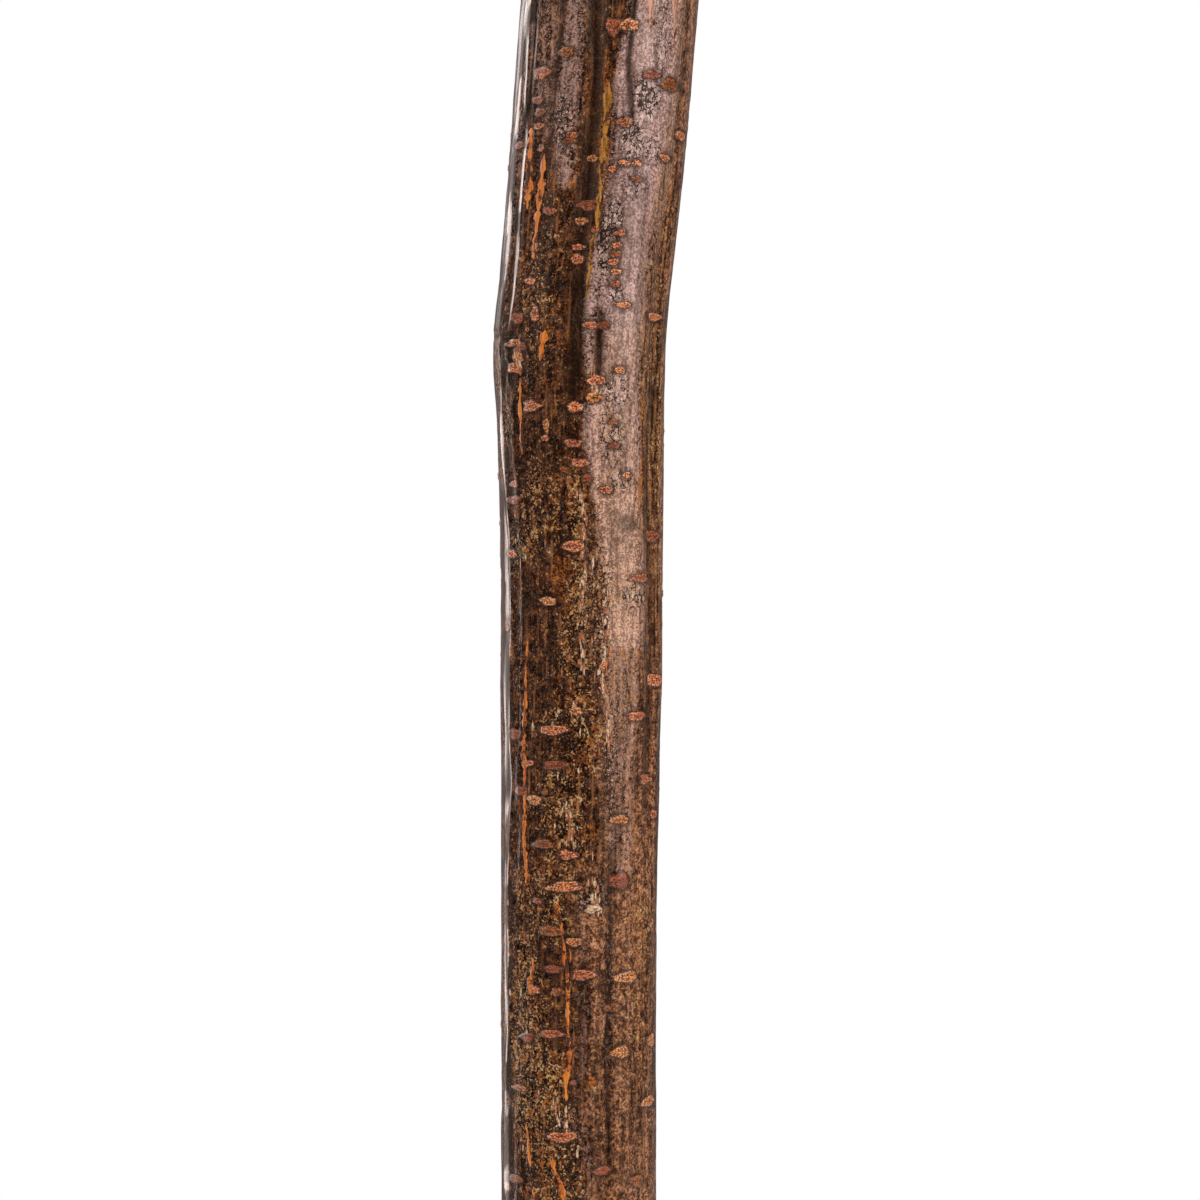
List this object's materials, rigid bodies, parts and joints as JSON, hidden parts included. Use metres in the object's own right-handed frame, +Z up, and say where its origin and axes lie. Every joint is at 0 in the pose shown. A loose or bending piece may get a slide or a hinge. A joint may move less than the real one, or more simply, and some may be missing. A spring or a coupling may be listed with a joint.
{
  "type": "knob walking cane",
  "caption": "Walking cane with a slightly bent, bark-covered natural wood shaft, a turned burr-wood knob, a brass collar and ferrule, and a push-on rubber tip.",
  "frame": {"origin": "centre of the rubber tip's ground face", "axes": "+Z up the cane towards the knob, -Z out of the ground face, -Y towards the side that the picture shows, +X the way the shaft's kink leans"},
  "size_m": [0.0524, 0.05, 0.9147],
  "materials": {
    "bark": "gloss",
    "burr_wood": "gloss",
    "horn": "gloss",
    "brass": "satin",
    "steel": "satin",
    "rubber": "matte"
  },
  "bodies": {
    "ground_tip": {"rubber_tip": "rubber", "tip_washer": "steel"},
    "stick": {"shaft": "bark", "ferrule_sleeve": "brass", "ferrule_end_plate": "steel", "ferrule_pin_left": "brass", "ferrule_pin_right": "brass", "collar": "brass", "horn_spacer": "horn", "head_stud": "steel", "knob_insert": "brass", "knob": "burr_wood"}
  },
  "joints": [
    {"name": "tip_pull", "type": "slide", "parent": "ground_tip", "child": "stick", "axis": [0, 0, 1], "range_m": [0, 0.04]}
  ]
}
